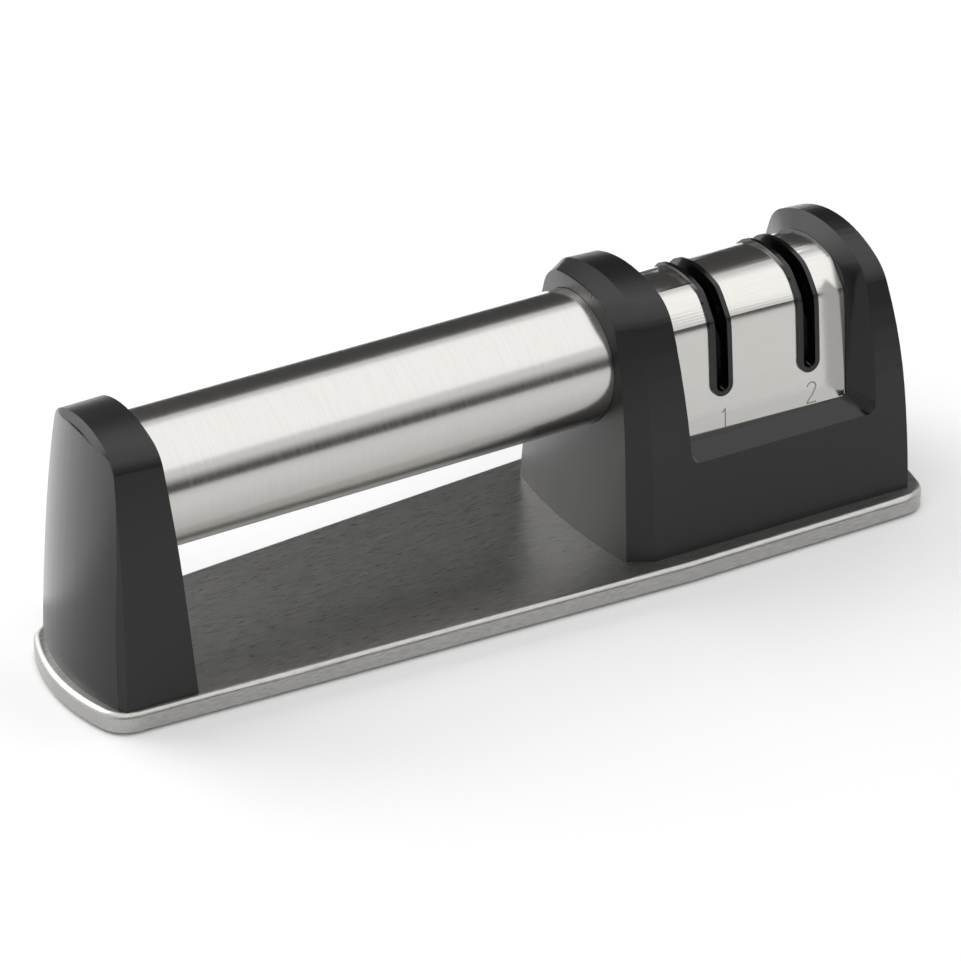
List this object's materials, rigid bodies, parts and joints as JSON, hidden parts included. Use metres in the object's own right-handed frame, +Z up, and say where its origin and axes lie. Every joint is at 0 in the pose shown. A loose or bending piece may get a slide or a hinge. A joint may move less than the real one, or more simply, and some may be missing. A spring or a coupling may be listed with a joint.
{
  "type": "pull-through knife sharpener",
  "caption": "Pull-through knife sharpener: steel tray, end post, steel tube handle and a moulded head with slotted steel cover over turning sharpening wheels.",
  "frame": {"origin": "middle of the footprint, on the surface that the sole rests on", "axes": "+X from the handle end to the head end, along the longest side; +Z up"},
  "size_m": [0.205, 0.0614, 0.0649],
  "materials": {
    "brushed_tray": "brushed",
    "brushed_tube": "brushed",
    "polished_cover": "satin",
    "black_moulding": "satin",
    "dark_moulding": "matte",
    "gloss_liner": "gloss",
    "sole": "matte",
    "fasteners": "satin",
    "hub": "matte",
    "diamond_wheel": "rough",
    "ceramic_wheel": "matte"
  },
  "bodies": {
    "base": {"base_tray": "brushed_tray", "base_pan": "dark_moulding", "non_slip_sole": "sole", "end_post": "black_moulding", "post_screws": "fasteners", "handle_tube": "brushed_tube", "tube_plug_post": "dark_moulding", "tube_plug_head": "dark_moulding", "plug_screws": "fasteners", "head_housing": "black_moulding", "head_screws": "fasteners", "steel_cover": "polished_cover", "slot_liner_coarse": "gloss_liner", "slot_liner_fine": "gloss_liner", "coarse_cradle": "dark_moulding", "fine_cradle": "dark_moulding", "cradle_screws": "fasteners", "coarse_axle": "fasteners", "fine_axle": "fasteners", "coarse_axle_clips": "fasteners", "fine_axle_clips": "fasteners"},
    "coarse_rotor": {"coarse_hub": "hub", "coarse_wheel_left": "diamond_wheel", "coarse_wheel_right": "diamond_wheel"},
    "fine_rotor": {"fine_hub": "hub", "fine_wheel_left": "ceramic_wheel", "fine_wheel_right": "ceramic_wheel"}
  },
  "joints": [
    {"name": "coarse_wheels_turn", "type": "hinge", "parent": "base", "child": "coarse_rotor", "pos_m": [0.0525, 0, 0.038], "axis": [1, 0, 0], "continuous": true},
    {"name": "fine_wheels_turn", "type": "hinge", "parent": "base", "child": "fine_rotor", "pos_m": [0.0749, 0, 0.038], "axis": [1, 0, 0], "continuous": true}
  ]
}
